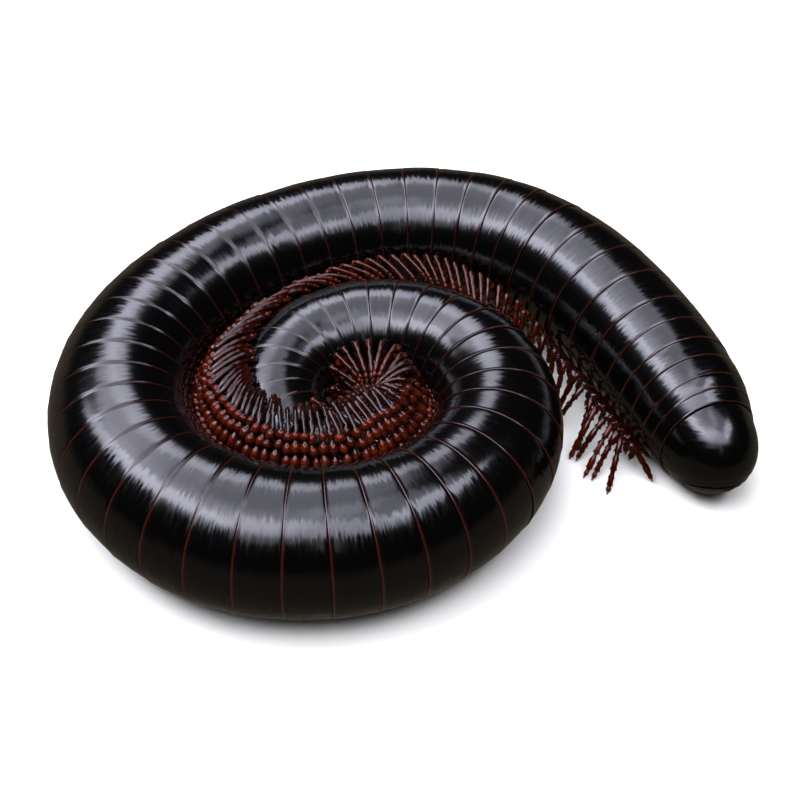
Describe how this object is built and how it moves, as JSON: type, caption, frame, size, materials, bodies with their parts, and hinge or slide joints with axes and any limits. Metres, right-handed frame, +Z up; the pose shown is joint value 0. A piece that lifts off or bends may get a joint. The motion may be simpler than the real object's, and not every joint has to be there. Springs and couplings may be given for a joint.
{
  "type": "doratogonus rugifrons",
  "caption": "Life-size still model of a giant black African millipede, coiled flat on its side with the red-brown legs folded into the coil.",
  "frame": {"origin": "middle of the footprint on the floor", "axes": "+X toward the side where the free tail end lies, +Y to the back of the coil, +Z up"},
  "size_m": [0.0569, 0.0482, 0.0115],
  "materials": {
    "shell": "glossy black shell with fine rings",
    "limb": "shiny mahogany red",
    "head_shell": "black-brown, wrinkled, satin gloss",
    "eye": "clear black gloss"
  },
  "bodies": {
    "root": {"body_01": "shell", "body_02": "shell", "body_03": "shell", "body_04": "shell", "body_05": "shell", "body_06": "shell", "body_07": "shell", "body_08": "shell", "body_09": "shell", "body_10": "shell", "body_11": "shell", "body_12": "shell", "collum": "shell", "telson": "shell", "anal_valve_left": "shell", "anal_valve_right": "shell", "head": "head_shell", "gnathochilarium": "head_shell", "eye_left": "eye", "eye_right": "eye", "antenna_left": "limb", "antenna_right": "limb"}
  },
  "joints": []
}
